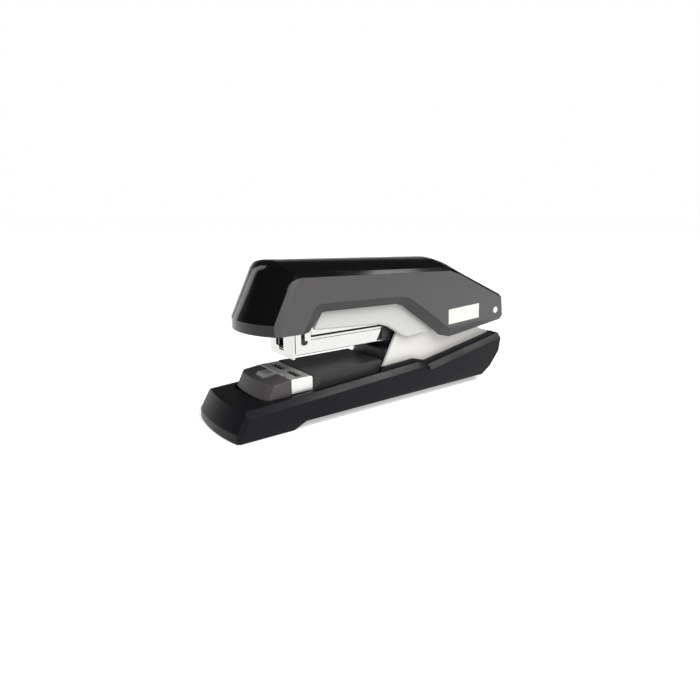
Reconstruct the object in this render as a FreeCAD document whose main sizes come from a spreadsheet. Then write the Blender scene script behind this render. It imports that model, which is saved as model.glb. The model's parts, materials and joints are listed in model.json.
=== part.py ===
import FreeCAD, Part

# A half-strip flat-clinch desktop stapler, in millimetres.
# Row frame: +X from the jaw to the back, +Y to the right-hand side seen from the back, +Z up, origin under
# the middle of the box. Lengths along the stapler are given from the tip of its nose, and helper functions
# take off half the length, so every object lies in the row frame.

import math
import os
import re

import Sketcher
from FreeCAD import Placement, Rotation, Vector

SIZES = {
    # whole stapler
    "total_length": 142.4, "half_width": 18,
    # base tray
    "skirt_height": 2.9, "lip_height": 3.9, "nose_radius": 72, "nose_corner": 16.6, "nose_lean": 0.588,
    "nose_edge": 1.95, "rim_chamfer": 2.3, "trough_half": 13.2, "floor_top": 4.4, "rail_half": 14.8,
    "foot_back": 25, "pad_thickness": 1.2, "foot_proud": 0.3, "cover_plate_half": 10.5, "cover_plate_low": 1.7,
    "foot_half": 9.5,
    # clinch unit
    "unit_half": 13.2, "table_top": 18.6, "plate_front": 26.4, "plate_back": 35.6, "sheet": 0.9,
    "deck_back": 70.6, "deck_half": 12.2, "deck_top": 18.9, "slot_x": 31.1, "slot_width": 2.4,
    "slot_inner": 0.8, "slot_outer": 10.9, "slot_cut": 0.7, "button_half": 3.1, "nose_low": 12.4,
    "flange_low": 12.9,
    # pivot
    "pivot_x": 125, "pivot_z": 38, "pin_radius": 3, "running_gap": 0.06, "pin_half": 15.6,
    "bracket_half": 11.8, "bracket_sheet": 1.4, "bracket_floor": 4.4,
    # magazine
    "mag_half": 9.04, "mag_sheet": 0.7, "mag_bottom": 26, "mag_side_top": 32.6, "head_front": 29.7,
    "head_top": 36, "head_back": 37.8, "plate_bottom": 24.8, "core_front": 32.0, "sheet_back": 73.2,
    "core_half": 5.7, "core_low": 27.2, "core_top": 32.2, "liner_half": 6.7, "crown_top": 33.1,
    "staple_half": 6.45, "strip_length": 26, "guide_low": 33.3, "guide_top": 38.8, "guide_front": 38.0,
    "guide_back": 116, "rod_z": 35.4, "rod_radius": 0.85, "screw_y": 5.2,
    # magazine arm
    "arm_half": 14.3, "arm_wall": 2, "arm_top": 44.2, "arm_web": 1.2,
    # driver
    "blade_x": 31.2, "blade_thickness": 0.6, "blade_half": 6.3, "blade_low": 33.4, "blade_top": 49.6,
    # handle
    "handle_front": 12, "front_radius": 26, "front_lean": 0.486, "handle_low": 36.5, "lip_top": 40.6,
    "crown_height": 62.7, "top_slope": 0.028, "bend_start": 103.5, "bend_end": 107.5,
    "bend_height": 58.73, "tail_height": 39.8, "tail_radius": 272, "tail_drop": 0.5,
    "crown_radius": 38.6, "crown_half": 16.5, "crown_drop": 3.7, "shoulder_slope": 0.93, "shell_wall": 2,
    "front_round": 7.5, "lever_half": 15.9,
    "lever_sheet": 1.2, "lever_top": 52.8, "bevel_half": 16.4,
}

doc = FreeCAD.newDocument("Stapler")
sheet = doc.addObject("Spreadsheet::Sheet", "Sizes")
for row, (alias, value) in enumerate(SIZES.items(), start=1):
    sheet.set(f"A{row}", alias)
    sheet.set(f"B{row}", str(value))
    sheet.setAlias(f"B{row}", alias)
doc.recompute()

BRACKET_SCREWS = ("84", "117")
PLANES = {"top": "XY_Plane", "side": "XZ_Plane", "end": "YZ_Plane"}
AXES = {"x": Rotation(Vector(0, 1, 0), 90), "y": Rotation(Vector(1, 0, 0), -90), "z": Rotation()}
subparts = {}


# ---------------------------------------------------------------- helpers

def bound(text):
    """An expression with the sheet's name put before each alias."""
    return re.sub(r"[a-z_]+", lambda m: f"Sizes.{m[0]}" if m[0] in SIZES else m[0], str(text))


def number(text):
    """The value of an expression in millimetres."""
    return float(sheet.evalExpression(bound(text)))


def along(text):
    """An expression for a length from the nose, moved into the row frame."""
    return f"({text}) - total_length / 2"


def piece(label, made):
    """Registers a finished sub-part under its node name."""
    made.Label = label
    subparts[label] = made
    return made


def new_body(name):
    return doc.addObject("PartDesign::Body", name)


def new_sketch(body, view, at="0"):
    """An empty sketch on an origin plane: top at height at, side at distance at in Y, end at length at."""
    sketch = body.newObject("Sketcher::SketchObject", f"{body.Name}_outline")
    plane = next(f for f in body.Origin.OriginFeatures if f.Role == PLANES[view])
    sketch.AttachmentSupport = (plane, "")
    sketch.MapMode = "FlatFace"
    offset = {"top": at, "side": f"-({at})", "end": along(at)}[view]
    sketch.setExpression("AttachmentOffset.Base.z", bound(offset))
    return sketch


def arc_between(start, stop, radius, turn):
    """The arc from start to stop that turns left (1) or right (-1)."""
    chord = stop - start
    left = Vector(-chord.y, chord.x, 0).normalize()
    rise = math.sqrt(max(radius ** 2 - (chord.Length / 2) ** 2, 0))
    centre = (start + stop) / 2 + left * rise * turn
    first, last = (start, stop) if turn > 0 else (stop, start)
    angles = [math.atan2(p.y - centre.y, p.x - centre.x) for p in (first, last)]
    return Part.ArcOfCircle(Part.Circle(centre, Vector(0, 0, 1), radius), *angles)


def outline(sketch, view, points):
    """Adds a closed outline. A point is (across, up), or (across, up, radius, turn) where an arc follows it."""
    if view != "end":
        points = [(along(p[0]), *p[1:]) for p in points]
    places = [Vector(number(p[0]), number(p[1]), 0) for p in points]
    first, count = sketch.GeometryCount, len(points)
    ends = []
    for index, point in enumerate(points):
        start, stop = places[index], places[(index + 1) % count]
        if len(point) == 2:
            sketch.addGeometry(Part.LineSegment(start, stop))
            ends.append((1, 2))
            continue
        sketch.addGeometry(arc_between(start, stop, number(point[2]), point[3]))
        ends.append((1, 2) if point[3] > 0 else (2, 1))
        held = sketch.addConstraint(Sketcher.Constraint("Radius", first + index, number(point[2])))
        sketch.setExpression(f"Constraints[{held}]", bound(point[2]))
    for index in range(count):
        following = (index + 1) % count
        sketch.addConstraint(Sketcher.Constraint("Coincident", first + index, ends[index][1],
                                                 first + following, ends[following][0]))
    for index, point in enumerate(points):
        for kind, text, size in zip(("DistanceX", "DistanceY"), point, (places[index].x, places[index].y)):
            held = sketch.addConstraint(Sketcher.Constraint(kind, -1, 1, first + index, ends[index][0], size))
            sketch.setExpression(f"Constraints[{held}]", bound(text))


def rectangle(low_across, high_across, low_up, high_up):
    return [(low_across, low_up), (high_across, low_up), (high_across, high_up), (low_across, high_up)]


def extrude(kind, body, view, outlines, length, at="0", both=True, reverse=False, direction=None):
    """A Pad or Pocket of closed outlines; both makes it symmetric about the sketch."""
    sketch = new_sketch(body, view, at)
    for points in outlines:
        outline(sketch, view, points)
    before = 0.0
    if kind == "Pocket":
        doc.recompute()
        before = body.Shape.Volume
    feature = body.newObject(f"PartDesign::{kind}", f"{body.Name}_{kind.lower()}")
    feature.Profile = (sketch, [""])
    feature.SideType = "Symmetric" if both else "One side"
    feature.Reversed = reverse
    if direction:
        feature.UseCustomVector = True
        feature.Direction = direction
        feature.AlongSketchNormal = True
    feature.setExpression("Length", bound(length))
    doc.recompute()
    if kind == "Pocket" and body.Shape.Volume >= before:
        raise RuntimeError(f"{feature.Name} cuts nothing")
    return feature


def pad(body, view, outlines, length, **options):
    return extrude("Pad", body, view, outlines, length, **options)


def pocket(body, view, outlines, length, **options):
    return extrude("Pocket", body, view, outlines, length, **options)


def dress(kind, body, size, wanted):
    """A Fillet or Chamfer on the edges of the body's tip that wanted(edge) accepts."""
    base = body.Tip
    names = [f"Edge{i}" for i, edge in enumerate(base.Shape.Edges, start=1) if wanted(edge)]
    feature = body.newObject(f"PartDesign::{kind}", f"{body.Name}_{kind.lower()}")
    feature.Base = (base, names)
    feature.setExpression("Radius" if kind == "Fillet" else "Size", bound(size))
    doc.recompute()
    if not names or not feature.Shape.isValid():
        raise RuntimeError(f"{feature.Name} found {len(names)} edges and its shape is not valid")
    return feature


def prism(name, view, outlines, length, **options):
    """A body with one Pad."""
    body = new_body(name)
    pad(body, view, outlines, length, **options)
    return body


def box(name, x_low, x_high, y_low, y_high, z_low, z_high):
    made = doc.addObject("Part::Box", name)
    made.setExpression("Length", bound(f"({x_high}) - ({x_low})"))
    made.setExpression("Width", bound(f"({y_high}) - ({y_low})"))
    made.setExpression("Height", bound(f"({z_high}) - ({z_low})"))
    for letter, text in zip("xyz", (along(x_low), y_low, z_low)):
        made.setExpression(f"Placement.Base.{letter}", bound(text))
    return made


def cylinder(name, axis, radius, length, x, y, z):
    """A cylinder that starts at x, y, z and runs along +axis."""
    made = doc.addObject("Part::Cylinder", name)
    made.setExpression("Radius", bound(radius))
    made.setExpression("Height", bound(length))
    made.Placement = Placement(Vector(), AXES[axis])
    for letter, text in zip("xyz", (along(x), y, z)):
        made.setExpression(f"Placement.Base.{letter}", bound(text))
    return made


def fuse(name, *shapes):
    made = doc.addObject("Part::MultiFuse", name)
    made.Shapes = list(shapes)
    made.Refine = True
    return made


def common(name, *shapes):
    made = doc.addObject("Part::MultiCommon", name)
    made.Shapes = list(shapes)
    made.Refine = True
    return made


def cut(name, base, *tools):
    made = doc.addObject("Part::Cut", name)
    made.Base = base
    made.Tool = tools[0] if len(tools) == 1 else fuse(f"{name}_tools", *tools)
    made.Refine = True
    return made


def group(name, *shapes):
    """Separate solids that share one node."""
    made = doc.addObject("Part::Compound", name)
    made.Links = list(shapes)
    return made


def coil(name, axis, radius, wire, turns, length, x, y, z):
    """A compression spring whose coil axis starts at x, y, z and runs along +axis."""
    helix = doc.addObject("Part::Helix", f"{name}_path")
    helix.setExpression("Radius", bound(radius))
    helix.setExpression("Height", bound(f"({length}) - 2 * ({wire})"))
    helix.setExpression("Pitch", bound(f"(({length}) - 2 * ({wire})) / {turns}"))
    section = doc.addObject("Part::Circle", f"{name}_section")
    section.setExpression("Radius", bound(wire))
    start = Placement(Vector(number(along(x)), number(y), number(z)), AXES[axis])
    start = start.multiply(Placement(Vector(0, 0, number(wire)), Rotation()))
    helix.Placement = start
    section.Placement = start.multiply(Placement(Vector(number(radius), 0, 0), Rotation(Vector(1, 0, 0), 90)))
    doc.recompute()
    made = doc.addObject("Part::Sweep", name)
    made.Sections = [section]
    made.Spine = (helix, [f"Edge{i}" for i in range(1, len(helix.Shape.Edges) + 1)])
    made.Solid = True
    made.Frenet = True
    return made


def screw(name, axis_down, x, y, head_z, head_radius, head_height, shank_radius, shank_length):
    """A screw along Z; its head sits at head_z and the shank runs up, or down where axis_down is true."""
    shank_z = f"({head_z}) - ({shank_length})" if axis_down else f"({head_z}) + ({head_height})"
    head = cylinder(f"{name}_head", "z", head_radius, head_height, x, y, head_z)
    shank = cylinder(f"{name}_shank", "z", shank_radius, shank_length, x, y, shank_z)
    slot = box(f"{name}_slot", f"({x}) - 1.6", f"({x}) + 1.6", f"({y}) - 0.3", f"({y}) + 0.3",
               f"({head_z}) + ({head_height}) - 0.5" if axis_down else f"({head_z}) - 0.5",
               f"({head_z}) + ({head_height}) + 0.5" if axis_down else f"({head_z}) + 0.5")
    return cut(name, fuse(f"{name}_blank", head, shank), slot)


# ---------------------------------------------------------------- base

def nose_outline():
    """The tray seen from above: a bowed front, cut corners and straight sides."""
    back = "total_length + 8"
    return [(back, "-half_width"), ("nose_edge + 2.2", "-half_width"),
            ("nose_edge", "-nose_corner", "nose_radius", -1), ("nose_edge", "nose_corner"),
            ("nose_edge + 2.2", "half_width"), (back, "half_width")]


def base_tray():
    """The tray's long outline with chamfered rims, inner rails and trough."""
    tray = new_body("base_tray")
    rim = [("-1", "foot_proud"), ("foot_back", "foot_proud"), ("foot_back + 5", "skirt_height"),
           ("130.5", "skirt_height"), ("135.6", "7"), ("141", "13.4"), ("total_length", "22"), ("94.8", "13.85"), ("87.8", "15.75"),
           ("-1", "11.08")]
    pad(tray, "side", [rim], "2 * half_width")
    side = number("half_width") - 0.01
    dress("Chamfer", tray, "rim_chamfer", lambda edge: min(abs(v.Y) for v in edge.Vertexes) > side
          and min(v.Z for v in edge.Vertexes) > 11 and edge.BoundBox.XLength > 3)
    rails = [("68.8", "10"), ("139.4", "16"), ("139.4", "23"), ("94.2", "15.4"), ("87.2", "17.2"),
             ("68.8", "16.3")]
    pad(tray, "side", [rails], "2 * rail_half")
    trough = [("60", "floor_top"), ("128", "floor_top"), ("132.6", "8.2"),
              ("139.4", "16.2"), ("139.4", "40"), ("60", "40")]
    pocket(tray, "side", [trough], "2 * trough_half")
    opening = [("68.8", "-13.8"), ("17", "-13.8"), ("13.9", "-11"), ("13.9", "11"), ("17", "13.8"),
               ("68.8", "13.8")]
    pocket(tray, "top", [opening], "30", at="floor_top", both=False, reverse=True)
    hollow = [("3.6", "-1"), ("11.4", "-1"), ("11.4", "10"), ("7.6", "9.6"), ("3.6", "3.9")]
    pocket(tray, "side", [hollow], "2 * nose_corner - 8")
    pocket(tray, "side", [rectangle("2.6", "24", "-1", "pad_thickness")], "30")
    return tray


def base_shell():
    tray = base_tray()
    plan = new_body("base_plan")
    pad(plan, "top", [nose_outline()], "lip_height", both=False)
    pad(plan, "top", [nose_outline()], "24", at="lip_height", both=False,
        direction=Vector(number("nose_lean"), 0, 1))
    tucks = new_body("base_tucks")
    for sign in ("", "-"):
        wedge = [(f"{sign}half_width", "3.3"), (f"{sign}(half_width + 3)", "3.3"),
                 (f"{sign}(half_width + 3)", "-1"), (f"{sign}(half_width - 0.9)", "-1")]
        tuck = prism(f"base_tuck{'_far' if sign else ''}", "end", [wedge], "160", at="-4", both=False,
                     direction=Vector(1, 0, 0.0215))
        tucks = tuck if not sign else (tucks, tuck)
    shell = common("base_outer", tray, plan)
    holes = [cylinder(f"base_screw_hole_{i}", "z", "1.5", "8", x, "0", "0")
             for i, x in enumerate(BRACKET_SCREWS)]
    piece("base_shell", cut("base_shell_cut", shell, *tucks, *holes))


def base_trim():
    """The steel plate under the tray and the rubber feet that the stapler stands on."""
    top = "skirt_height"
    piece("base_plate", box("base_plate", "33", "129", "-cover_plate_half", "cover_plate_half",
                            "cover_plate_low", top))
    front = prism("front_foot", "top", [[("3", "-14.6"), ("23.6", "-14.6"), ("23.6", "14.6"), ("3", "14.6")]],
                  "pad_thickness", both=False)
    dress("Fillet", front, "2", lambda edge: edge.BoundBox.ZLength > 1)
    piece("front_foot", front)
    feet = []
    for index, x in enumerate((40, 112)):
        foot = prism(f"rear_foot_{index}", "top", [[(x, "-foot_half"), (x + 14, "-foot_half"),
                     (x + 14, "foot_half"), (x, "foot_half")]], "cover_plate_low", both=False)
        dress("Fillet", foot, "3", lambda edge: edge.BoundBox.ZLength > 1)
        feet.append(foot)
    piece("rear_feet", group("rear_feet_group", *feet))


def pivot_bracket():
    """The U bracket that stands in the tray: two cheeks on a floor strip."""
    body = new_body("bracket_blank")
    cheek = [("71.2", "bracket_floor"), ("125", "bracket_floor"), ("138.8", "17"), ("138.8", "22.7"),
             ("131.8", "25.1"), ("131.6", "pivot_z", "6.6", 1), ("118.4", "pivot_z"), ("110", "33.5"),
             ("81.2", "33.5"), ("71.2", "14")]
    pad(body, "side", [cheek], "2 * bracket_half")
    pocket(body, "side", [rectangle("60", "145", "bracket_floor + bracket_sheet", "50")],
           "2 * (bracket_half - bracket_sheet)")
    pocket(body, "side", [rectangle("121", "145", "0", "50")], "2 * (bracket_half - bracket_sheet)")
    holes = [cylinder("bracket_pin_hole", "y", "pin_radius", "60", "pivot_x", "-30", "pivot_z")]
    for index, x in enumerate(BRACKET_SCREWS):
        holes.append(cylinder(f"bracket_screw_hole_{index}", "z", "1.5", "8", x, "0", "0"))
    piece("pivot_bracket", cut("bracket_drilled", body, *holes))


def base_fasteners():
    floor = "bracket_floor + bracket_sheet"
    screws = [screw(f"bracket_screw_{i}", True, x, "0", floor, "2.8", "1.6", "1.5",
                    "bracket_sheet + floor_top - skirt_height") for i, x in enumerate(BRACKET_SCREWS)]
    piece("bracket_screws", group("bracket_screws_group", *screws))
    pin = cylinder("pin_rod", "y", "pin_radius", "2 * pin_half", "pivot_x", "-pin_half", "pivot_z")
    piece("pivot_pin", pin)
    bush = cut("bush_tube",
               cylinder("bush_outside", "y", "4.2", "20.4", "pivot_x", "-10.2", "pivot_z"),
               cylinder("bush_hole", "y", "pin_radius + 0.02", "40", "pivot_x", "-20", "pivot_z"))
    piece("pivot_bush", bush)


def lift_spring():
    """The close-wound coil of the spring that lifts the magazine, held on the bush."""
    winding = coil("lift_winding", "y", "5.3", "0.55", 5, "11", "pivot_x", "-5.5", "pivot_z")
    piece("lift_spring", winding)


def stop_post():
    """The bumper that the magazine comes down on, behind the deck."""
    body = new_body("stop_post_body")
    side = [("72.4", "floor_top + bracket_sheet"), ("79.2", "floor_top + bracket_sheet"), ("78.7", "22.4"),
            ("74.2", "22.4")]
    pad(body, "side", [side], "20.4")
    dress("Chamfer", body, "0.6", lambda edge: edge.BoundBox.ZMin > 22)
    piece("stop_post", body)


# ---------------------------------------------------------------- clinch unit

def nose_plan(front, side):
    """The nose seen from above: a bowed front and cut corners."""
    return [("26.1", f"-({side})"), (f"{front} + 1.8", f"-({side})"), (front, "-10.4", "60", -1),
            (front, "10.4"), (f"{front} + 1.8", side), ("26.1", side)]


def anvil_housing():
    """The dark nose of the clinch unit: a leaning bowed front on a tucked foot, and a recess for the button."""
    body = new_body("anvil_nose")
    pad(body, "top", [nose_plan("15.2", "unit_half")], "8", at="nose_low", both=False,
        direction=Vector(0.49, 0, 1))
    pad(body, "top", [nose_plan("15.9", "unit_half - 0.6")], "nose_low - floor_top", at="floor_top",
        both=False)
    above = [("10", "30"), ("10", "17"), ("17.4", "17.7"), ("26.1", "table_top"), ("34", "table_top"),
             ("34", "30")]
    pocket(body, "side", [above], "40")
    pocket(body, "side", [rectangle("26.1", "34", "0", "30")], "40")
    back = number(along("26")) - 0.01
    low = number("nose_low") - 0.01
    dress("Fillet", body, "1.1", lambda edge: edge.BoundBox.ZMin > low and edge.BoundBox.ZMax > low + 1
          and edge.BoundBox.XMin < back)
    recess = box("anvil_recess", "19.4", "27", "-button_half - 0.4", "button_half + 0.4", "17.2", "22")
    notch = box("anvil_notch", "25.2", "27", "-7.9", "-5.9", "17.4", "22")
    hollow = box("anvil_hollow", "18.2", "27", "-10.5", "10.5", "0", "15.4")
    piece("anvil_housing", cut("anvil_cut", body, recess, notch, hollow))


def lock_button():
    """The small wedge on the nose that slides back to free the clinch plate."""
    body = new_body("lock_wedge")
    wedge = [("19.8", "17.3"), ("25.1", "17.3"), ("25.1", "19.2"), ("21", "19.2"), ("20", "18.1")]
    pad(body, "side", [wedge], "2 * button_half")
    dress("Fillet", body, "0.25", lambda edge: edge.BoundBox.ZMin > 18 and edge.BoundBox.YLength > 3)
    piece("lock_button", body)


def clinch_plate():
    body = new_body("clinch_sheet")
    half = [("unit_half - sheet", "flange_low"), ("unit_half", "flange_low"), ("unit_half", "table_top")]
    inner = [("-(unit_half - sheet)", "flange_low"), ("-(unit_half - sheet)", "table_top - sheet"),
             ("unit_half - sheet", "table_top - sheet")]
    section = [half[0], half[1], half[2], ("-unit_half", "table_top"), ("-unit_half", "flange_low"), *inner]
    pad(body, "end", [section], "plate_back - plate_front", at="plate_front", both=False)
    edges = number("unit_half") - 0.01
    dress("Fillet", body, "0.6", lambda edge: abs(edge.BoundBox.YMin) > edges
          and abs(edge.BoundBox.YMax) > edges and edge.BoundBox.ZMin > 18)
    low, high = "slot_x - slot_width / 2", "slot_x + slot_width / 2"
    slots = [rectangle("plate_front - 1", "plate_front + 1.1", "-7.9", "-5.9")]
    for sign in ("", "-"):
        inner, outer = f"{sign}slot_inner", f"{sign}slot_outer"
        inner_cut, outer_cut = f"{sign}(slot_inner + slot_cut)", f"{sign}(slot_outer - slot_cut)"
        slots.append([(f"{low} + slot_cut", inner), (f"{high} - slot_cut", inner), (high, inner_cut),
                      (high, outer_cut), (f"{high} - slot_cut", outer), (f"{low} + slot_cut", outer),
                      (low, outer_cut), (low, inner_cut)])
    pocket(body, "top", slots, "60")
    piece("clinch_plate", body)


def clinch_deck():
    """The dark cover behind the plate; it is open underneath."""
    body = new_body("deck_blank")
    plan = [("plate_back", "-unit_half"), ("plate_back + 3", "-unit_half"), ("42", "-deck_half"),
            ("deck_back", "-deck_half"), ("deck_back", "deck_half"), ("42", "deck_half"),
            ("plate_back + 3", "unit_half"), ("plate_back", "unit_half")]
    pad(body, "top", [plan], "deck_top - 12", at="12", both=False)
    pocket(body, "side", [rectangle("plate_back + 1.4", "deck_back - 1.4", "0", "deck_top - 1.5")],
           "2 * deck_half - 2.8")
    dress("Fillet", body, "0.5", lambda edge: edge.BoundBox.ZMin > 18.8 and edge.BoundBox.XLength > 2)
    piece("clinch_deck", body)


def table_springs():
    coils = [coil(f"table_spring_{x}", "z", "2.4", "0.3", 6, "deck_top - 1.5 - floor_top", str(x), "0",
                  "floor_top") for x in (44, 62)]
    piece("table_springs", group("table_springs_group", *coils))


def wing_set():
    """The block in the tray with two pins, and the two wings that fold the staple's legs flat."""
    block = box("wing_block_blank", "27.2", "34.9", "-11.9", "11.9", "floor_top", "14.4")
    slot = box("wing_block_slot", "30.2", "32", "-11", "11", "10", "20")
    pins, holes, wings = [], [], []
    for name, sign in (("left", 1), ("right", -1)):
        y = str(9.4 * sign)
        pins.append(cylinder(f"wing_pin_{name}", "x", "0.9", "6.1", "28", y, "12.4"))
        holes.append(cylinder(f"wing_pin_hole_{name}", "x", "0.9", "6.1", "28", y, "12.4"))
        wing = new_body(f"wing_{name}")
        shape = [(f"{sign * 0.9}", "13.6"), (f"{sign * 7.6}", "11.2"), (f"{sign * 10.5}", "11"),
                 (f"{sign * 10.5}", "14.2"), (f"{sign * 9}", "15.8"), (f"{sign * 0.9}", "15.8")]
        pad(wing, "end", [shape], "1.2", at="slot_x", both=True)
        bore = cylinder(f"wing_bore_{name}", "x", "0.9 + running_gap", "6", "28.5", y, "12.4")
        wings.append(piece(f"{name}_wing", cut(f"wing_{name}_drilled", wing, bore)))
    piece("wing_block", cut("wing_block_cut", block, slot, *holes))
    piece("wing_pins", group("wing_pins_group", *pins))


# ---------------------------------------------------------------- magazine drawer

def u_section(half, low, high, wall, bottom):
    """A channel open at the top."""
    inner = f"({half}) - ({wall})"
    return [(half, low), (half, high), (inner, high), (inner, f"{low} + {bottom}"),
            (f"-({inner})", f"{low} + {bottom}"), (f"-({inner})", high), (f"-({half})", high),
            (f"-({half})", low)]


def magazine_drawer():
    body = new_body("drawer_blank")
    section = u_section("mag_half", "mag_bottom", "head_top", "mag_sheet", "mag_sheet")
    pad(body, "end", [section], "sheet_back - head_front - sheet", at="head_front + sheet", both=False)
    low_sides = rectangle("head_back", "80", "mag_side_top", "head_top + 1")
    joint_gap = rectangle("head_front + sheet - 1", "head_front + sheet + 0.35", "mag_bottom + 0.9",
                          "head_top + 1")
    slanted_end = [("70.4", "mag_bottom + mag_sheet"), ("80", "mag_bottom + mag_sheet"),
                   ("80", "mag_side_top - 0.9"), ("72.9", "mag_side_top - 0.9"), ("72.4", "30.4")]
    hooks = [("33.4", "30.5"), ("34.1", "29.8"), ("35.7", "29.8"), ("36.3", "30.4"), ("36.3", "31.4"),
             ("35.1", "31.4"), ("35.1", "head_top - 1"), ("33.4", "head_top - 1")]
    pocket(body, "side", [low_sides, joint_gap, slanted_end, hooks], "40")
    for sign in ("", "-"):
        low, high = f"{sign}(mag_half - 0.3)", f"{sign}(mag_half + 1)"
        groove = [(low, "31.5"), (high, "31.5"), (high, "31.8"), (low, "31.8")]
        pocket(body, "end", [groove], "sheet_back - head_back + 1", at="head_back", both=False, reverse=True)
    exit_slot = rectangle("head_front", "core_front", "-8", "8")
    pocket(body, "top", [exit_slot], "3", at="mag_bottom", both=True)
    edges = number("mag_half") - 0.01
    dress("Fillet", body, "0.6", lambda edge: abs(edge.BoundBox.YMin) > edges
          and abs(edge.BoundBox.YMax) > edges and edge.BoundBox.ZMax < 26.1)
    holes = [cylinder("drawer_rivet_hole", "z", "1.1", "8", "43.5", "0", "22")]
    piece("magazine_drawer", cut("drawer_drilled", body, *holes))


def drawer_tail():
    """The black rear half of the drawer, open at its back end."""
    body = new_body("tail_blank")
    section = u_section("mag_half", "mag_bottom", "mag_side_top", "2.3", "mag_sheet")
    pad(body, "end", [section], "104 - sheet_back", at="sheet_back", both=False)
    hole = cylinder("tail_rivet_hole", "z", "1.1", "8", "94", "0", "22")
    piece("drawer_tail", cut("tail_drilled", body, hole))


def front_plate():
    body = new_body("front_sheet")
    outer = rectangle("-mag_half", "mag_half", "plate_bottom", "head_top")
    window = [("-1.9", "27"), ("1.6", "27"), ("1.6", "28"), ("2", "28.4"), ("4", "28.4"),
              ("4", "head_top - 1.6"), ("-1.9", "head_top - 1.6")]
    pad(body, "end", [outer, window], "sheet", at="head_front", both=False)
    edges = number("mag_half") - 0.01
    low_x = number(along("head_front")) + 0.01
    dress("Fillet", body, "0.7", lambda edge: abs(edge.BoundBox.YMin) > edges and edge.BoundBox.ZLength > 5
          and edge.BoundBox.XMax < low_x)
    piece("front_plate", body)


def staple_channel():
    """The liner that keeps the staples in line."""
    body = new_body("liner")
    section = u_section("mag_half - mag_sheet", "mag_bottom + mag_sheet", "crown_top - 0.6",
                        "mag_half - mag_sheet - liner_half", "core_low - mag_bottom - mag_sheet")
    pad(body, "end", [section], "sheet_back - core_front", at="core_front", both=False)
    holes = [cylinder("liner_rivet_hole", "z", "1.1", "8", "43.5", "0", "22")]
    piece("staple_channel", cut("liner_drilled", body, *holes))


def staple_core():
    body = new_body("core_tube")
    outer = rectangle("-core_half", "core_half", "core_low", "core_top")
    inner = rectangle("-(core_half - 0.8)", "core_half - 0.8", "core_low + 0.8", "core_top - 0.8")
    pad(body, "end", [outer, inner], "68", at="core_front", both=False)
    holes = [cylinder(f"core_rivet_hole_{x}", "z", "1.1", "8", x, "0", "22") for x in ("43.5", "94")]
    piece("staple_core", cut("core_drilled", body, *holes))
    rivets = []
    for x in ("43.5", "94"):
        shank = cylinder(f"core_rivet_shank_{x}", "z", "1.1", "core_low + 0.8 - mag_bottom", x, "0",
                         "mag_bottom")
        head = cylinder(f"core_rivet_head_{x}", "z", "2", "0.7", x, "0", "core_low + 0.8")
        rivets.append(fuse(f"core_rivet_{x}", shank, head))
    piece("core_rivets", group("core_rivets_group", *rivets))


def staple_strip():
    """The glued strip of staples that straddles the core."""
    body = new_body("strip")
    legs, inner = "core_low + 0.2", "staple_half - 0.6"
    section = [("staple_half", legs), ("staple_half", "crown_top"), ("-staple_half", "crown_top"),
               ("-staple_half", legs), (f"-({inner})", legs), (f"-({inner})", "crown_top - 0.7"),
               (inner, "crown_top - 0.7"), (inner, legs)]
    pad(body, "end", [section], "strip_length", at="core_front + 0.1", both=False)
    piece("staple_strip", body)


# ---------------------------------------------------------------- magazine arm

def magazine_frame():
    """The light arm that carries the magazine and turns on the pivot pin."""
    body = new_body("arm_blank")
    side = [("35.6", "36.3"), ("50.2", "35.5"), ("67.5", "34.7"), ("72.5", "33.2"), ("76.1", "31"),
            ("80.1", "28.3"), ("83", "27.2"), ("88.3", "27.4"), ("96.7", "28"), ("104", "30.6"),
            ("118", "31.4"), ("pivot_x", "pivot_z - 6.6", "6.6", 1), ("130.4", "41.8"),
            ("127", "arm_top"), ("40.8", "arm_top"), ("39.6", "42.9")]
    pad(body, "side", [side], "2 * arm_half")
    low = number("arm_half") - 0.01
    dress("Fillet", body, "1", lambda edge: min(abs(edge.BoundBox.YMin), abs(edge.BoundBox.YMax)) > low
          and edge.BoundBox.ZMax < 37 and edge.BoundBox.XMax < number(along("98")))
    hollow = "2 * (arm_half - arm_wall)"
    pocket(body, "side", [rectangle("30", "140", "0", "arm_top - arm_web")], hollow)
    ends = [rectangle("30", "44", "arm_top - arm_web - 0.1", "60"),
            rectangle("112", "140", "arm_top - arm_web - 0.1", "60")]
    pocket(body, "side", ends, hollow)
    posts = [rectangle("53", "61", "guide_top", "arm_top - 0.2"), rectangle("96", "104", "guide_top",
                                                                        "arm_top - 0.2")]
    pad(body, "side", posts, "16")
    holes = [cylinder("arm_pin_hole", "y", "pin_radius + running_gap", "60", "pivot_x", "-30", "pivot_z")]
    for index, (x, y) in enumerate(guide_screw_places()):
        holes.append(cylinder(f"arm_screw_hole_{index}", "z", "1.2", "4", x, y, "guide_top"))
    piece("magazine_frame", cut("arm_drilled", body, *holes))


def guide_screw_places():
    return [(x, y) for x in ("57", "100") for y in ("screw_y", "-screw_y")]


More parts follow.
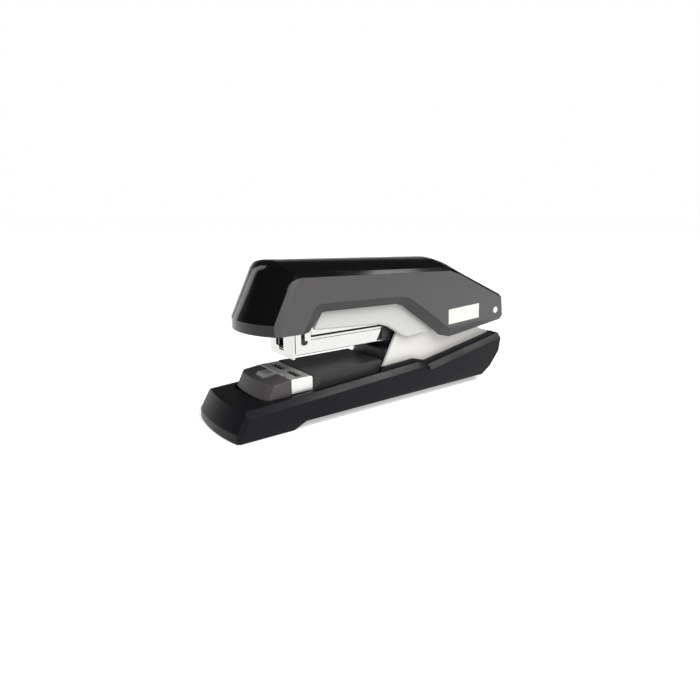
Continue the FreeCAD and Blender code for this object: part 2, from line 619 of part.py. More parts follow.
def magazine_guide():
    """The bright channel that the drawer runs under, open below."""
    body = new_body("guide_blank")
    inner = "mag_half - sheet"
    section = [("mag_half", "guide_low"), ("mag_half", "guide_top"), ("-mag_half", "guide_top"),
               ("-mag_half", "guide_low"), (f"-({inner})", "guide_low"),
               (f"-({inner})", "guide_top - sheet"), (inner, "guide_top - sheet"), (inner, "guide_low")]
    pad(body, "end", [section], "guide_back - guide_front", at="guide_front", both=False)
    pad(body, "end", [rectangle("-2", "2", "rod_z - 1.6", "guide_top - 0.2")], "0.9", at="guide_front + 1",
        both=False)
    holes = [cylinder(f"guide_screw_hole_{i}", "z", "1.2", "4", x, y, "guide_top - 2")
             for i, (x, y) in enumerate(guide_screw_places())]
    holes.append(cylinder("guide_rod_hole", "x", "rod_radius", "4", "guide_front - 1", "0", "rod_z"))
    piece("magazine_guide", cut("guide_drilled", body, *holes))
    screws = [screw(f"guide_screw_{i}", False, x, y, "guide_top - sheet - 1.3", "2", "1.3", "1.2", "4")
              for i, (x, y) in enumerate(guide_screw_places())]
    piece("guide_screws", group("guide_screws_group", *screws))


def head_guide():
    """The black block over the magazine's head, with the slot that guides the driver."""
    body = new_body("head_guide_block")
    side = [("29", "36.4"), ("36.6", "36.4"), ("37.2", "guide_top"), ("52.6", "guide_top"),
            ("52.6", "arm_top - arm_web"), ("42", "arm_top - arm_web"), ("36.4", "38.2"), ("29", "38.2")]
    pad(body, "side", [side], "16")
    slot = rectangle("blade_x - blade_thickness / 2 - 0.1", "blade_x + blade_thickness / 2 + 0.1",
                     "-(blade_half + 0.2)", "blade_half + 0.2")
    pocket(body, "top", [slot], "100")
    piece("head_guide", body)


def follower_set():
    """The follower that pushes the strip, its rod and its spring."""
    start = "core_front + 0.1 + strip_length + 0.1"
    body = new_body("follower_saddle")
    half = "staple_half"
    section = [(half, "crown_top - 5.8"), (half, "crown_top"), (f"-{half}", "crown_top"),
               (f"-{half}", "crown_top - 5.8"), ("-(core_half + 0.15)", "crown_top - 5.8"),
               ("-(core_half + 0.15)", "core_top + 0.15"), ("core_half + 0.15", "core_top + 0.15"),
               ("core_half + 0.15", "crown_top - 5.8")]
    pad(body, "end", [section], "11", at=start, both=False)
    pad(body, "end", [rectangle("-2.4", "2.4", "crown_top - 0.3", "rod_z + 2.2")], "7", at=f"{start} + 4",
        both=False)
    bore = cylinder("follower_bore", "x", "rod_radius + 0.08", "30", f"{start} - 5", "0", "rod_z")
    piece("follower", cut("follower_drilled", body, bore))
    piece("follower_rod", cylinder("follower_rod_bar", "x", "rod_radius", "74", "guide_front", "0", "rod_z"))
    spring_start = f"{start} + 11"
    piece("follower_spring", coil("follower_coil", "x", "1.75", "0.25", 16, f"106.3 - ({spring_start})",
                                  spring_start, "0", "rod_z"))


def latch_housing():
    """The black block at the guide's rear: it holds the rod's end and the release button's stem."""
    body = new_body("latch_block")
    pad(body, "side", [rectangle("110", "118.6", "27.6", "guide_top - sheet")], "16")
    pocket(body, "end", [rectangle("-3", "3", "28.4", "30.8")], "60", at="114")
    rod_hole = cylinder("latch_rod_hole", "x", "rod_radius", "2", "110", "0", "rod_z")
    piece("latch_housing", cut("latch_drilled", body, rod_hole))
    leaf = box("drawer_catch_leaf", "106.7", "107.2", "-5", "5", "31", "guide_top - sheet")
    leaf_hole = cylinder("catch_rod_hole", "x", "rod_radius + 0.05", "2", "106", "0", "rod_z")
    piece("drawer_catch", cut("drawer_catch_pierced", leaf, leaf_hole))


def release_button():
    """The push button at the back that frees the drawer, with its stem."""
    body = new_body("release_blank")
    pad(body, "side", [rectangle("108.6", "133.5", "28.6", "30.6")], "5.6")
    pad(body, "side", [[("133", "25.4"), ("139.8", "25.4"), ("140.6", "26.4"), ("139.9", "28.2"),
                        ("135", "30.6"), ("133", "30.6")]], "14")
    dress("Fillet", body, "0.5", lambda edge: edge.BoundBox.XMin > number(along("139.4"))
          and edge.BoundBox.YLength > 10)
    piece("release_button", body)
    spring = coil("release_coil", "x", "1.7", "0.25", 6, "13.6", "118.9", "0", "26.3")
    piece("release_spring", spring)


# ---------------------------------------------------------------- driver

def driver_blade():
    """The blade with the T head that hangs in the driver holder."""
    back = "blade_x + blade_thickness / 2"
    front = "blade_x - blade_thickness / 2"
    body = new_body("blade")
    pad(body, "side", [rectangle(front, back, "blade_low", "blade_top")], "2 * blade_half")
    pad(body, "side", [rectangle(f"{front} - 1.3", f"{back} + 1.3", "blade_top - 2", "blade_top")], "10")
    piece("driver_blade", body)


def driver_holder():
    body = new_body("holder")
    top = "lever_top - lever_sheet"
    pad(body, "side", [rectangle("26.8", "35.6", "blade_top - 3", top)], "14.4")
    cavity = [("29.9", "blade_top - 4"), ("32.6", "blade_top - 4"), ("32.6", "blade_top - 2.3"),
              ("34.4", "blade_top - 2.3"), ("34.4", "blade_top + 0.3"), ("28.2", "blade_top + 0.3"),
              ("28.2", "blade_top - 2.3"), ("29.9", "blade_top - 2.3")]
    pocket(body, "side", [cavity], "2 * blade_half + 0.6")
    piece("driver_holder", body)


# ---------------------------------------------------------------- handle

def handle_plan(shift, inset):
    """The handle seen from above: a bowed front with small cut corners, moved back by shift."""
    reach = f"front_radius - {inset}"
    corner_y = f"16.8 - {inset}"
    corner_x = f"({shift}) + handle_front + front_radius - sqrt(({reach})^2 - ({corner_y})^2)"
    side = f"half_width - {inset}"
    return [("total_length + 60", f"-({side})"), (f"{corner_x} + 2.2", f"-({side})"),
            (corner_x, f"-({corner_y})", reach, -1), (corner_x, corner_y),
            (f"{corner_x} + 2.2", side), ("total_length + 60", side)]


def crown_section(height, inset, drop="crown_drop", radius="crown_radius"):
    """The handle's top seen from the front: crowned, with a narrow shoulder on each side."""
    side = "half_width + 1"
    half = f"crown_half - 0.6 * {inset}"
    crease = f"{height} - {drop} - {inset}"
    shoulder = f"{crease} - shoulder_slope * ({side} - ({half}))"
    return [(side, "0"), (side, shoulder), (half, crease, f"{radius} - {inset}", 1),
            (f"-({half})", crease), (f"-({side})", shoulder), (f"-({side})", "0")]


def loft(body, sections):
    """A ruled AdditiveLoft through closed outlines, each given as (view, at, points)."""
    sketches = []
    for view, at, points in sections:
        sketches.append(new_sketch(body, view, at))
        outline(sketches[-1], view, points)
    feature = body.newObject("PartDesign::AdditiveLoft", f"{body.Name}_loft")
    feature.Profile = (sketches[0], [""])
    feature.Sections = [(sketch, [""]) for sketch in sketches[1:]]
    feature.Ruled = True
    doc.recompute()


def handle_back(name, inset):
    """What bounds the rear of the handle: open in front of the bend, then down to a nearly flat tail."""
    body = new_body(f"{name}_back")
    pad(body, "end", [rectangle("-half_width - 1", "half_width + 1", "-20", "90")], "bend_start + 20", at="-20",
        both=False)
    start = "crown_height - top_slope * bend_start"
    loft(body, [("end", "bend_start", crown_section(start, inset)),
                ("end", "bend_end", crown_section("bend_height", inset)),
                ("end", "145", crown_section("tail_height", inset, "tail_drop", "tail_radius"))])
    return body


def front_facets(steps):
    """Lean and set-back of the planes that round the edge between the leaning front and the top."""
    lean = math.atan(number("front_lean"))
    slope = math.atan(number("top_slope"))
    radius = number("front_round")
    face = Vector(-math.cos(lean), 0, math.sin(lean))
    top = Vector(math.sin(slope), 0, math.cos(slope))
    # centre of the rounding: one radius inside both faces
    gap_face = face.x * number("handle_front") + face.z * number("lip_top") - radius
    gap_top = top.z * number("crown_height") - radius
    spread = face.x * top.z - face.z * top.x
    centre_x = (gap_face * top.z - face.z * gap_top) / spread
    centre_z = (face.x * gap_top - gap_face * top.x) / spread
    for step in range(1, steps + 1):
        angle = (math.pi / 2 - lean) * (1 - step / (steps + 1)) - slope * step / (steps + 1)
        touch_x = centre_x - radius * math.sin(angle)
        touch_z = centre_z + radius * math.cos(angle)
        yield 1 / math.tan(angle), touch_x - (touch_z - 20) / math.tan(angle) - number("handle_front")


def handle_form(name, side_body, inset, steps):
    """The solid bounded by the side outline, the bowed leaning front and the crowned tops."""
    parts = [side_body]
    front = new_body(f"{name}_front")
    pad(front, "top", [handle_plan("0", inset)], "lip_top", both=False)
    pad(front, "top", [handle_plan("0", inset)], "30", at="lip_top", both=False,
        direction=Vector(number("front_lean"), 0, 1))
    parts.append(front)
    for index, (lean, shift) in enumerate(front_facets(steps)):
        parts.append(prism(f"{name}_facet_{index}", "top", [handle_plan(f"{shift:.4f}", inset)], "50",
                           at="20", both=False, direction=Vector(lean, 0, 1)))
    parts.append(prism(f"{name}_top", "end", [crown_section("crown_height", inset)], "160", at="0", both=False,
                       direction=Vector(1, 0, -number("top_slope"))))
    parts.append(handle_back(name, inset))
    return common(f"{name}_form", *parts)


def handle_shells():
    rest = [("140.2", "39.4", "3.5", 1), ("137.9", "43"), ("137.9", "75"), ("0", "75"), ("0", "handle_low")]
    edge = [("32.4", "handle_low"), ("37.4", "42.9"), ("38.8", "43.4"), ("74.3", "42.9"), ("78", "41.8"),
            ("95", "30.4"), ("100", "26.6"), ("106.5", "24.9"), ("total_length - 0.4", "28.8"), *rest]
    face = [("29", "handle_low"), ("34.3", "45.9"), ("36.3", "46.8"), ("75.4", "46.1"), ("80.3", "45.1"),
            ("97", "34.7"), ("102.2", "30.6"), ("106", "29.2"), ("total_length - 0.8", "31.2"), *rest]
    outer = new_body("handle_side")
    pad(outer, "side", [edge], "2 * bevel_half")
    for sign in ("", "-"):
        loft(outer, [("side", f"{sign}bevel_half", edge), ("side", f"{sign}half_width", face)])
    inner = prism("handle_room_side", "side", [[("0", "0"), ("total_length + 4 - shell_wall", "0"),
                  ("137.6", "41.6"), ("137.6", "75"), ("0", "75")]], "2 * half_width")
    shell = cut("handle_skin", handle_form("handle_outer", outer, "0", 6),
                handle_form("handle_inner", inner, "shell_wall", 3))
    split = [("-5", "20"), ("18", "20"), ("18", "lip_top"), ("23.6", "52.2", "5.5", -1),
             ("28.8", "56.6"), ("104", "54.6"), ("110", "52.7"), ("137.1", "41"), ("146", "36.6"),
             ("146", "80"), ("-5", "80")]
    tray = box("handle_tray", "36", "90", "-16.6", "16.6", "lever_top", "lever_top + 1")
    piece("handle_cover", common("handle_cover_part", shell,
                                 prism("handle_split_a", "side", [split], "60")))
    sides = cut("handle_sides", shell, prism("handle_split_b", "side", [split], "60"))
    holes = [cylinder(f"handle_screw_hole_{i}", "z", "1.3", "8", x, y, "48")
             for i, (x, y) in enumerate(handle_screw_places())]
    piece("handle_shell", cut("handle_shell_drilled", fuse("handle_sides_tray", sides, tray), *holes,
                              *handle_marks()))


def handle_screw_places():
    return [(x, y) for x in ("67", "88") for y in ("10", "-10")]


def handle_lever():
    """The steel lever inside the handle, from the driver holder back to the pivot pin."""
    body = new_body("lever_blank")
    side = [("26", "47"), ("78", "47"), ("86", "43"), ("101", "32.6"), ("118", "31.2"),
            ("pivot_x", "pivot_z - 6.4", "6.4", 1), ("130.4", "41.5"), ("119", "44.5"), ("106", "50.6"),
            ("98", "lever_top"), ("26", "lever_top")]
    pad(body, "side", [side], "2 * lever_half")
    hollow = "2 * (lever_half - lever_sheet)"
    pocket(body, "side", [rectangle("20", "140", "0", "lever_top - lever_sheet")], hollow)
    pocket(body, "side", [rectangle("98", "140", "lever_top - lever_sheet - 0.1", "60")], hollow)
    holes = [cylinder("lever_pin_hole", "y", "pin_radius + running_gap", "60", "pivot_x", "-30", "pivot_z")]
    for index, (x, y) in enumerate(handle_screw_places()):
        holes.append(cylinder(f"lever_screw_hole_{index}", "z", "1.3", "6", x, y, "49"))
    piece("handle_frame", cut("lever_drilled", body, *holes))
    screws = [screw(f"handle_screw_{i}", False, x, y, "lever_top - lever_sheet - 1.4", "2.4", "1.4", "1.3",
                    "lever_sheet + 1") for i, (x, y) in enumerate(handle_screw_places())]
    piece("handle_screws", group("handle_screws_group", *screws))
    piece("handle_spring", coil("handle_coil", "z", "3.7", "0.4", 3, "lever_top - lever_sheet - arm_top",
                                "66", "0", "arm_top"))


def handle_marks():
    """The blank pale field and the pale dot inlaid in the near side."""
    field = [("104.4", "30.9"), ("124.4", "31.9"), ("124", "38.6"), ("104", "37.6")]
    label = prism("label_field", "side", [field], "0.3", at="-half_width", both=False, reverse=True)
    dot = cylinder("dot_disc", "y", "1.5", "0.3", "136.2", "-half_width", "34.2")
    return piece("handle_label", label), piece("handle_dot", dot)


# ---------------------------------------------------------------- assembly

def build():
    base_shell()
    base_trim()
    pivot_bracket()
    base_fasteners()
    lift_spring()
    stop_post()
    anvil_housing()
    lock_button()
    clinch_plate()
    clinch_deck()
    table_springs()
    wing_set()
    magazine_drawer()
    drawer_tail()
    front_plate()
    staple_channel()
    staple_core()
    staple_strip()
    magazine_frame()
    magazine_guide()
    head_guide()
    follower_set()
    latch_housing()
    release_button()
    driver_blade()
    driver_holder()
    handle_shells()
    handle_lever()
    doc.recompute()


def check_and_write():
    """Stops on any failed object or bad shape, then writes one file for each sub-part."""
    for item in doc.Objects:
        if "Invalid" in item.State or "Error" in item.State:
            raise RuntimeError(f"{item.Name} failed: {item.State}")
    for label, item in subparts.items():
        if item.Shape.isNull() or not item.Shape.isValid():
            raise RuntimeError(f"{label} has a bad shape")
    os.makedirs("parts", exist_ok=True)
    for label, item in subparts.items():
        item.Shape.exportStep(f"parts/{label}.step")
        box_of = item.Shape.BoundBox
        print(f"{label:18s} solids {len(item.Shape.Solids)} volume {item.Shape.Volume:9.1f} "
              f"x {box_of.XMin:7.2f} {box_of.XMax:7.2f} y {box_of.YMin:7.2f} {box_of.YMax:7.2f} "
              f"z {box_of.ZMin:7.2f} {box_of.ZMax:7.2f}")


build()
check_and_write()
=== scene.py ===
import json
import math

import bpy
from mathutils import Matrix, Vector

MM = 0.001
SHARP_ANGLE = 15.0           # degrees: flatter edges are shaded smooth, sharper ones are rounded
WELD_REACH = 0.002 * MM
FLOOR_HALF = 6.0
FLOOR_GLOW = 0.4
SUN_POWER = 3.0
SUN_SPREAD = 50              # degrees
SUN_FROM = (-0.2, -0.65, 0.73)

# (name, place, what it points at, width and height, watts)
LAMPS = [
    ("over", (0.57, -0.34, 0.77), (0, 0, 0.03), (0.55, 0.2), 5),
    ("ridge", (0.62, 0.15, 0.77), (0, 0, 0.05), (0.6, 0.1), 0.5),
    ("tall", (-0.27, 0.86, 0.34), (-0.05, 0, 0.05), (0.26, 0.62), 0.6),
    ("left", (-0.85, -0.6, 0.3), (0, 0, 0.03), (0.35, 0.35), 0.6),
]

# how bright the room is, from the horizon upwards: (sine of the height, brightness)
ROOM_GLOW = [(0.0, 0.8), (0.2, 0.22), (0.34, 0.02)]

CAMERA_PLACE = (-0.13769, -0.17499, 0.0785)
CAMERA_FORWARD = (0.5761, 0.7775, -0.2523)
CAMERA_RIGHT = (0.8038, -0.5948, 0.0023)
CAMERA_LENS = 26.91
SENSOR_WIDTH = 36
NEAREST_SEEN = 0.01

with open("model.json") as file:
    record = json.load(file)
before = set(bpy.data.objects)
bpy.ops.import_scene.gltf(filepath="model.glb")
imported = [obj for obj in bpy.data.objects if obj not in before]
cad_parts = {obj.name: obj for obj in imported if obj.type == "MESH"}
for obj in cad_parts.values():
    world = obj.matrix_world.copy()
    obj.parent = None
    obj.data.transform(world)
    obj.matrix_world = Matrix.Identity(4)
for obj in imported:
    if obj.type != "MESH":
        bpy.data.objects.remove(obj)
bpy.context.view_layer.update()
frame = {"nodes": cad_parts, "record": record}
record = frame["record"]
nodes = frame["nodes"]
slot_of = {part["node"]: part["material_slot"] for part in record["subparts"]}


# ---------------------------------------------------------------- material nodes

class Shader:
    """A material with one Principled shader and short calls for the nodes that feed it."""

    def __init__(self, name, **sockets):
        self.material = bpy.data.materials.new(name)
        self.material.use_nodes = True
        self.tree = self.material.node_tree
        self.tree.nodes.clear()
        self.shader = self.add("ShaderNodeBsdfPrincipled")
        out = self.add("ShaderNodeOutputMaterial")
        self.tree.links.new(self.shader.outputs["BSDF"], out.inputs["Surface"])
        self.place = self.add("ShaderNodeTexCoord").outputs["Object"]
        for socket, value in sockets.items():
            self.shader.inputs[socket.replace("_", " ")].default_value = value

    def add(self, kind, **values):
        node = self.tree.nodes.new(kind)
        for name, value in values.items():
            setattr(node, name, value)
        return node

    def feed(self, socket, value):
        """Links a node output to a socket, or sets a plain value on it."""
        if isinstance(value, bpy.types.NodeSocket):
            self.tree.links.new(value, socket)
        else:
            socket.default_value = value

    def noise(self, scale, detail=3.0, stretch=None, rough=0.5, distort=0.0):
        """Noise with scale in bumps per metre; stretch scales its three axes."""
        node = self.add("ShaderNodeTexNoise")
        place = self.place
        if stretch:
            mapping = self.add("ShaderNodeMapping")
            mapping.inputs["Scale"].default_value = stretch
            self.feed(mapping.inputs["Vector"], place)
            place = mapping.outputs["Vector"]
        self.feed(node.inputs["Vector"], place)
        for name, value in (("Scale", scale), ("Detail", detail), ("Roughness", rough),
                            ("Distortion", distort)):
            node.inputs[name].default_value = value
        return node.outputs["Fac"]

    def cells(self, scale):
        node = self.add("ShaderNodeTexVoronoi", feature="F1")
        self.feed(node.inputs["Vector"], self.place)
        node.inputs["Scale"].default_value = scale
        return node.outputs["Distance"]

    def remap(self, value, low, high, to_low, to_high):
        node = self.add("ShaderNodeMapRange")
        for name, item in (("Value", value), ("From Min", low), ("From Max", high), ("To Min", to_low),
                           ("To Max", to_high)):
            self.feed(node.inputs[name], item)
        return node.outputs["Result"]

    def math(self, operation, first, second=0.0):
        node = self.add("ShaderNodeMath", operation=operation)
        self.feed(node.inputs[0], first)
        self.feed(node.inputs[1], second)
        return node.outputs["Value"]

    def blend(self, factor, first, second):
        node = self.add("ShaderNodeMix", data_type="RGBA")
        self.feed(node.inputs["Factor"], factor)
        self.feed(node.inputs["A"], first)
        self.feed(node.inputs["B"], second)
        return node.outputs["Result"]

    def edges(self, radius):
        """1 on convex and concave edges, 0 on flat faces."""
        bevel = self.add("ShaderNodeBevel", samples=4)
        bevel.inputs["Radius"].default_value = radius
        face = self.add("ShaderNodeNewGeometry").outputs["Normal"]
        dot = self.add("ShaderNodeVectorMath", operation="DOT_PRODUCT")
        self.feed(dot.inputs[0], bevel.outputs["Normal"])
        self.feed(dot.inputs[1], face)
        return self.remap(dot.outputs["Value"], 0.995, 0.86, 0.0, 1.0)

    def facing_down(self):
        """1 on faces that look towards the table, 0 on upright and upper ones."""
        split = self.add("ShaderNodeSeparateXYZ")
        self.feed(split.inputs["Vector"], self.add("ShaderNodeTexCoord").outputs["Normal"])
        return self.remap(split.outputs["Z"], -0.02, -0.08, 0.0, 1.0)

    def bump(self, *layers):
        """Stacks bumps, each a height and its depth in metres."""
        normal = None
        for height, depth in layers:
            node = self.add("ShaderNodeBump")
            node.inputs["Distance"].default_value = depth
            node.inputs["Strength"].default_value = 1.0
            self.feed(node.inputs["Height"], height)
            if normal:
                self.feed(node.inputs["Normal"], normal)
            normal = node.outputs["Normal"]
        self.feed(self.shader.inputs["Normal"], normal)


def shade(colour, factor):
    return (*(min(channel * factor, 1.0) for channel in colour[:3]), 1.0)


def moulding(name, colour, rough, spread=0.06, grain=2600.0, depth=0.000012, wear=1.5, dust=0.0,
             painted_underside_shade=None, **sockets):
    """Moulded plastic: fine spark-eroded grain, uneven polish, handled edges, a little dust and, if
    asked, painted shade on faces turned towards the table.
    """
    kit = Shader(name, **sockets)
    patches = kit.noise(38.0, 4.0, distort=0.4)
    smears = kit.noise(160.0, 3.0, stretch=(0.35, 1.0, 1.0))
    tone = kit.blend(patches, shade(colour, 0.93), shade(colour, 1.08))
    edge = kit.edges(0.0004)
    worn = kit.math("MULTIPLY", edge, kit.remap(kit.noise(420.0, 4.0), 0.35, 0.75, 0.15, 0.75))
    tone = kit.blend(worn, tone, shade(colour, wear))
    # painted shade: faces turned towards the table take the darker underside colour
    if painted_underside_shade:
        tone = kit.blend(kit.facing_down(), tone, (*painted_underside_shade, 1.0))
    if dust:
        specks = kit.remap(kit.noise(5200.0, 1.0), 0.73, 0.79, 0.0, dust)
        tone = kit.blend(specks, tone, (0.42, 0.41, 0.39, 1.0))
    kit.feed(kit.shader.inputs["Base Color"], tone)
    polish = kit.math("ADD", kit.remap(patches, 0.3, 0.7, rough - spread, rough + spread),
                      kit.remap(smears, 0.3, 0.7, -spread * 0.5, spread * 0.5))
    kit.feed(kit.shader.inputs["Roughness"], polish)
    kit.bump((kit.noise(grain, 2.0), depth))
    return kit.material


def painted(name, colour):
    """Powder coat on steel: orange peel, slight tone drift and paler rubbed edges."""
    kit = Shader(name, Specular_IOR_Level=0.5)
    drift = kit.noise(30.0, 3.0)
    tone = kit.blend(drift, shade(colour, 0.96), shade(colour, 1.04))
    rub = kit.math("MULTIPLY", kit.edges(0.0003), kit.remap(kit.noise(650.0, 4.0), 0.45, 0.7, 0.0, 0.5))
    tone = kit.blend(rub, tone, shade(colour, 1.22))
    kit.feed(kit.shader.inputs["Base Color"], tone)
    kit.feed(kit.shader.inputs["Roughness"], kit.remap(kit.noise(240.0, 3.0), 0.3, 0.7, 0.32, 0.45))
    kit.bump((kit.noise(1300.0, 1.0), 0.00001), (kit.noise(5200.0, 2.0), 0.000003))
    return kit.material


def sheet_metal(name, colour, rough, along=(1.0, 26.0, 26.0), streak=260.0):
    """Rolled or brushed metal: long fine streaks, cloudy tone and small scuffs."""
    kit = Shader(name, Metallic=1.0, Anisotropic=0.35)
    lines = kit.noise(streak, 5.0, stretch=along, rough=0.65)
    cloud = kit.noise(70.0, 3.0)
    tone = kit.blend(lines, shade(colour, 0.9), shade(colour, 1.06))
    tone = kit.blend(kit.remap(cloud, 0.35, 0.75, 0.0, 0.25), tone, shade(colour, 0.82))
    kit.feed(kit.shader.inputs["Base Color"], tone)
    scuffs = kit.remap(kit.noise(900.0, 6.0, stretch=(0.5, 2.0, 2.0)), 0.58, 0.72, 0.0, 0.12)
    kit.feed(kit.shader.inputs["Roughness"],
             kit.math("ADD", kit.remap(lines, 0.25, 0.75, rough - 0.05, rough + 0.07), scuffs))
    kit.bump((lines, 0.000004))
    return kit.material


def rubber(name, colour):
    kit = Shader(name, Specular_IOR_Level=0.3)
    cloud = kit.noise(120.0, 4.0)
    tone = kit.blend(cloud, shade(colour, 0.85), shade(colour, 1.25))
    dust = kit.remap(kit.noise(2600.0, 3.0), 0.62, 0.75, 0.0, 0.3)
    kit.feed(kit.shader.inputs["Base Color"], kit.blend(dust, tone, (0.2, 0.195, 0.185, 1.0)))
    kit.feed(kit.shader.inputs["Roughness"], kit.remap(cloud, 0.3, 0.7, 0.72, 0.9))
    kit.bump((kit.cells(2200.0), 0.00004), (kit.noise(6000.0, 2.0), 0.00001))
    return kit.material


def staple_strip(name, pitch):
    """Side by side round wires under a thin film of glue, with painted shade in the grooves between the
    wires.
    """
    kit = Shader(name, Metallic=1.0)
    split = kit.add("ShaderNodeSeparateXYZ")
    kit.feed(split.inputs["Vector"], kit.place)
    phase = kit.math("MULTIPLY", split.outputs["X"], 2 * math.pi / pitch)
    ripple = kit.math("ABSOLUTE", kit.math("SINE", kit.math("MULTIPLY", phase, 0.5)))
    glue = kit.remap(kit.noise(500.0, 4.0), 0.45, 0.7, 0.0, 1.0)
    # painted shade: the grooves between wires are dark, the rest takes the bright wire colour
    tone = kit.blend(kit.remap(ripple, 0.0, 0.35, 0.0, 1.0), (0.12, 0.12, 0.12, 1.0),
                     (0.78, 0.78, 0.77, 1.0))
    kit.feed(kit.shader.inputs["Base Color"], kit.blend(glue, tone, (0.5, 0.49, 0.46, 1.0)))
    kit.feed(kit.shader.inputs["Roughness"], kit.remap(glue, 0.0, 1.0, 0.24, 0.4))
    kit.bump((ripple, 0.00018))
    return kit.material


MATERIALS = {
    "handle_gloss": moulding("gloss_black_moulding", (0.0035, 0.0034, 0.004), 0.1, spread=0.02,
                             grain=900.0, depth=0.0000006, wear=3.0, dust=0.12,
                             Specular_IOR_Level=0.42),
    # the satin grey's underside colour is painted shade on its faces turned towards the table
    "handle_satin": moulding("satin_grey_moulding", (0.05, 0.047, 0.048), 0.4, wear=1.6,
                             painted_underside_shade=(0.011, 0.0102, 0.011)),
    "tray_black": moulding("tray_black_moulding", (0.0055, 0.0052, 0.0068), 0.3, wear=3.0, dust=0.08,
                           Specular_IOR_Level=0.1),
    "unit_grey": moulding("unit_grey_moulding", (0.052, 0.049, 0.048), 0.42, grain=2000.0, depth=0.000015,
                          Specular_IOR_Level=0.3),
    "black_plastic": moulding("black_moulding", (0.013, 0.013, 0.014), 0.4, wear=2.2),
    "foot_rubber": rubber("foot_rubber", (0.022, 0.022, 0.022)),
    "bracket_paint": painted("pale_warm_powder_coat", (0.6, 0.59, 0.56)),
    "arm_paint": painted("light_grey_powder_coat", (0.46, 0.46, 0.44)),
    "bright_steel": sheet_metal("bright_zinc_sheet", (0.66, 0.66, 0.645), 0.22),
    "dark_steel": sheet_metal("oiled_dark_sheet", (0.09, 0.09, 0.092), 0.34),
    "spring_steel": sheet_metal("drawn_spring_wire", (0.5, 0.5, 0.49), 0.28, along=(1.0, 1.0, 1.0),
                                streak=3000.0),
    "screw_steel": sheet_metal("plated_screw_steel", (0.66, 0.65, 0.62), 0.3, along=(1.0, 1.0, 8.0),
                               streak=700.0),
    "staple_wire": staple_strip("glued_wire_strip", 0.52 * MM),
    "mark_pale": moulding("pale_print", (0.62, 0.62, 0.58), 0.35, wear=1.1, grain=4200.0, depth=0.000006),
}

OWN_MATERIALS = {
    "clinch_plate": sheet_metal("matt_zinc_sheet", (0.84, 0.84, 0.82), 0.46),
    "clinch_deck": moulding("deck_moulding", (0.026, 0.025, 0.0245), 0.4, grain=2000.0, depth=0.000012,
                            wear=2.0, Specular_IOR_Level=0.25),
    "lock_button": moulding("button_grey_moulding", (0.2, 0.195, 0.2), 0.4, grain=2000.0, depth=0.00001),
}

for node, thing in nodes.items():
    thing.data.materials.clear()
    thing.data.materials.append(OWN_MATERIALS.get(node) or MATERIALS[slot_of[node]])


# ---------------------------------------------------------------- softened edges

def smooth_by_angle(limit):
    """A node group that drops stored normals and shades smooth across edges flatter than limit."""
    tree = bpy.data.node_groups.new("smooth_by_angle", "GeometryNodeTree")
    for way in ("INPUT", "OUTPUT"):
        tree.interface.new_socket(name="Geometry", in_out=way, socket_type="NodeSocketGeometry")
    start = tree.nodes.new("NodeGroupInput")
    end = tree.nodes.new("NodeGroupOutput")
    drop = tree.nodes.new("GeometryNodeRemoveAttribute")
    drop.inputs["Name"].default_value = "custom_normal"
    angle = tree.nodes.new("GeometryNodeInputMeshEdgeAngle")
    flat = tree.nodes.new("FunctionNodeCompare")
    flat.data_type, flat.operation = "FLOAT", "LESS_THAN"
    flat.inputs["B"].default_value = math.radians(limit)
    faces = tree.nodes.new("GeometryNodeSetShadeSmooth")
    faces.domain = "FACE"
    edges = tree.nodes.new("GeometryNodeSetShadeSmooth")
    edges.domain = "EDGE"
    for source, target in ((start.outputs[0], drop.inputs["Geometry"]),
                           (drop.outputs["Geometry"], faces.inputs["Geometry"]),
                           (faces.outputs["Geometry"], edges.inputs["Geometry"]),
                           (angle.outputs["Unsigned Angle"], flat.inputs["A"]),
                           (flat.outputs["Result"], edges.inputs["Shade Smooth"]),
                           (edges.outputs["Geometry"], end.inputs[0])):
        tree.links.new(source, target)
    return tree


SMOOTH = smooth_by_angle(SHARP_ANGLE)


def soften(node, width):
    """Joins the split corners of a CAD mesh and rounds its edges a little."""
    thing = nodes[node]
    weld = thing.modifiers.new("weld", "WELD")
    weld.merge_threshold = WELD_REACH
    bevel = thing.modifiers.new("edge", "BEVEL")
    bevel.width = width * MM
    bevel.segments = 2
    bevel.limit_method = "ANGLE"
    bevel.angle_limit = math.radians(SHARP_ANGLE)
    bevel.use_clamp_overlap = True
    bevel.harden_normals = False
    bevel.miter_outer = "MITER_ARC"
    thing.modifiers.new("smooth", "NODES").node_group = SMOOTH
    thing.modifiers.new("shading", "WEIGHTED_NORMAL").keep_sharp = True


# how wide the rounded edge of each visible piece is, in mm
EDGE_WIDTHS = {
    "base_shell": 0.3, "handle_shell": 0.3, "handle_cover": 0.25, "anvil_housing": 0.35,
    "lock_button": 0.2, "clinch_deck": 0.2, "clinch_plate": 0.12, "pivot_bracket": 0.25,
    "magazine_frame": 0.3, "magazine_drawer": 0.12, "front_plate": 0.12, "magazine_guide": 0.12,
    "stop_post": 0.25, "head_guide": 0.2, "latch_housing": 0.2, "release_button": 0.3,
    "front_foot": 0.2, "rear_feet": 0.3, "base_plate": 0.15,
}
for node, width in EDGE_WIDTHS.items():
    soften(node, width)


# ---------------------------------------------------------------- floor, light and camera

def stage_material():
    """A seamless pale floor that glows a little, so that it stays pale to its far edge."""
    kit = Shader("pale_floor", Roughness=0.75, Specular_IOR_Level=0.2, Emission_Strength=FLOOR_GLOW)
    kit.feed(kit.shader.inputs["Base Color"],
             kit.blend(kit.noise(3.0, 3.0), (0.84, 0.84, 0.84, 1.0), (0.86, 0.86, 0.86, 1.0)))
    kit.shader.inputs["Emission Color"].default_value = (1.0, 1.0, 1.0, 1.0)
    return kit.material


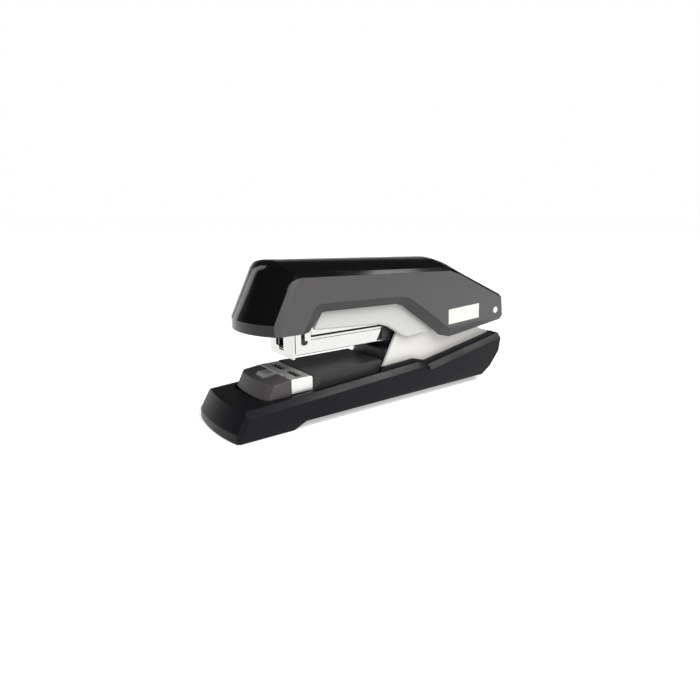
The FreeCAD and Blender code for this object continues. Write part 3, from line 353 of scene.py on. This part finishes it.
def make_floor():
    mesh = bpy.data.meshes.new("floor")
    half = FLOOR_HALF
    mesh.from_pydata([(-half, -half, 0), (half, -half, 0), (half, half, 0), (-half, half, 0)], [],
                     [(0, 1, 2, 3)])
    floor = bpy.data.objects.new("floor", mesh)
    bpy.context.collection.objects.link(floor)
    mesh.materials.append(stage_material())


def make_light(name, place, target, size, power):
    light = bpy.data.lights.new(name, "AREA")
    light.shape = "RECTANGLE"
    light.size, light.size_y = size
    light.energy = power
    lamp = bpy.data.objects.new(name, light)
    lamp.location = place
    lamp.rotation_euler = (Vector(target) - Vector(place)).to_track_quat("-Z", "Y").to_euler()
    bpy.context.collection.objects.link(lamp)


def make_sun():
    """A very wide soft source, so the floor is lit evenly out to its far edge."""
    light = bpy.data.lights.new("broad", "SUN")
    light.energy = SUN_POWER
    light.angle = math.radians(SUN_SPREAD)
    lamp = bpy.data.objects.new("broad", light)
    lamp.rotation_euler = Vector(SUN_FROM).to_track_quat("Z", "Y").to_euler()
    bpy.context.collection.objects.link(lamp)


def make_world():
    """A soft band of light at the horizon under a dark ceiling; the camera itself sees plain white."""
    world = bpy.data.worlds.new("studio")
    world.use_nodes = True
    bpy.context.scene.world = world
    tree = world.node_tree
    tree.nodes.clear()
    out = tree.nodes.new("ShaderNodeOutputWorld")
    room = tree.nodes.new("ShaderNodeBackground")
    plain = tree.nodes.new("ShaderNodeBackground")
    plain.inputs["Color"].default_value = (1, 1, 1, 1)
    pick = tree.nodes.new("ShaderNodeMixShader")
    seen = tree.nodes.new("ShaderNodeLightPath")
    place = tree.nodes.new("ShaderNodeTexCoord")
    split = tree.nodes.new("ShaderNodeSeparateXYZ")
    ramp = tree.nodes.new("ShaderNodeValToRGB")
    tree.links.new(place.outputs["Generated"], split.inputs[0])
    tree.links.new(split.outputs["Z"], ramp.inputs[0])
    tree.links.new(ramp.outputs["Color"], room.inputs["Color"])
    tree.links.new(seen.outputs["Is Camera Ray"], pick.inputs[0])
    tree.links.new(room.outputs[0], pick.inputs[1])
    tree.links.new(plain.outputs[0], pick.inputs[2])
    tree.links.new(pick.outputs[0], out.inputs["Surface"])
    stops = ramp.color_ramp.elements
    stops[0].position, stops[1].position = ROOM_GLOW[0][0], ROOM_GLOW[-1][0]
    for height, _ in ROOM_GLOW[1:-1]:
        stops.new(height)
    for stop, (_, glow) in zip(stops, ROOM_GLOW):
        stop.color = (glow, glow, glow, 1)


def make_camera():
    camera = bpy.data.cameras.new("camera")
    camera.lens = CAMERA_LENS
    camera.sensor_width = SENSOR_WIDTH
    camera.clip_start = NEAREST_SEEN
    view = bpy.data.objects.new("camera", camera)
    forward = Vector(CAMERA_FORWARD).normalized()
    right = Vector(CAMERA_RIGHT)
    right = (right - forward * right.dot(forward)).normalized()
    up = right.cross(forward)
    turn = Matrix((right, up, -forward)).transposed().to_4x4()
    view.matrix_world = Matrix.Translation(CAMERA_PLACE) @ turn
    bpy.context.collection.objects.link(view)
    bpy.context.scene.camera = view


make_floor()
make_world()
make_sun()
for lamp in LAMPS:
    make_light(*lamp)
make_camera()
bpy.context.scene.view_settings.view_transform = "Standard"
bpy.context.scene.view_settings.look = "None"
